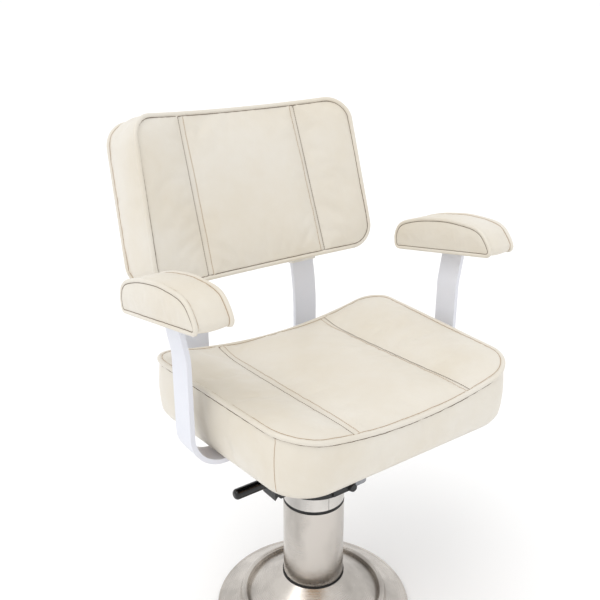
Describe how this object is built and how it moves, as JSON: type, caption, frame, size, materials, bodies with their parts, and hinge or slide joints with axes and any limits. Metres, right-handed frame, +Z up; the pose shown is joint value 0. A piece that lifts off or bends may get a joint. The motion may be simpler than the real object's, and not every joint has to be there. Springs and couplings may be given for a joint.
{
  "type": "styling chair",
  "caption": "Upholstered swivel styling chair with padded arms on flat bars, a lift lever, a telescopic column and a round spun-steel base.",
  "frame": {"origin": "on the floor, on the column's axis, at the middle of the base's underside", "axes": "+Z up the column; the sitter faces -Y; +X is to the left hand of a person sitting in the chair, so the lift lever is on the -X side"},
  "size_m": [0.642, 0.58, 0.9659],
  "materials": {
    "upholstery": "smooth satin vinyl",
    "white_coat": "satin powder coat",
    "spun_steel": "spun, circular brushing",
    "column_steel": "fine brushed",
    "bright_steel": "polished",
    "dark_iron": "plain",
    "black_coat": "satin black",
    "rubber": "matt",
    "grip": "gloss moulded",
    "nylon": "plain",
    "bronze": "machined",
    "zinc": "zinc plated",
    "collar": "satin moulded",
    "plywood": "birch plywood",
    "foam": "open-cell foam"
  },
  "bodies": {
    "base": {"base_cover": "spun_steel", "ballast_plate": "dark_iron", "floor_ring": "rubber", "column_flange": "dark_iron", "flange_bolts": "zinc", "outer_tube": "column_steel", "foot_ring": "rubber", "wiper_ring": "rubber", "guide_bush": "nylon", "piston_rod": "bright_steel"},
    "lift": {"inner_tube": "bright_steel", "lower_bush": "nylon", "gas_cylinder": "dark_iron", "cylinder_mount": "dark_iron", "bearing_housing": "zinc", "swivel_bushes": "bronze", "thrust_washer": "bronze", "cover_sleeve": "bright_steel"},
    "valve": {"push_rod": "bright_steel"},
    "seat": {"swivel_shaft": "bright_steel", "shaft_clip": "zinc", "swivel_head": "black_coat", "head_bolts": "zinc", "seat_riser": "black_coat", "seat_plate": "black_coat", "lever_bracket": "zinc", "lever_guard": "black_coat", "lever_pin": "bright_steel", "lever_spring": "zinc", "brake_plate": "zinc", "brake_bolt": "black_coat", "seat_bolts": "zinc", "arm_bar_left": "white_coat", "arm_bar_right": "white_coat", "back_bar_left": "white_coat", "back_bar_right": "white_coat", "seat_board": "plywood", "seat_foam": "foam", "seat_cover": "upholstery", "back_board": "plywood", "back_foam": "foam", "back_cover": "upholstery", "rear_panel": "upholstery", "back_screws": "zinc", "bar_collar_left": "collar", "bar_collar_right": "collar", "arm_core_left": "plywood", "arm_core_right": "plywood", "arm_pad_left": "upholstery", "arm_pad_right": "upholstery", "arm_screws": "zinc"},
    "lever": {"lever_rod": "bright_steel", "lever_grip": "grip"}
  },
  "joints": [
    {"name": "lift_slide", "type": "slide", "parent": "base", "child": "lift", "axis": [0, 0, 1], "range_m": [0, 0.13]},
    {"name": "seat_swivel", "type": "hinge", "parent": "lift", "child": "seat", "pos_m": [0, 0, 0.3], "axis": [0, 0, 1], "continuous": true},
    {"name": "lever_hinge", "type": "hinge", "parent": "seat", "child": "lever", "pos_m": [-0.042, 0, 0.325], "axis": [0, 1, 0], "range_deg": [0, 8], "stiffness_Nm_per_rad": 2, "springref_deg": -2.86},
    {"name": "valve_slide", "type": "slide", "parent": "lift", "child": "valve", "axis": [0, 0, -1], "range_m": [0, 0.006]}
  ],
  "couplings": [
    {"joint": "valve_slide", "follows": "lever_hinge", "m_per_rad": 0.042}
  ]
}
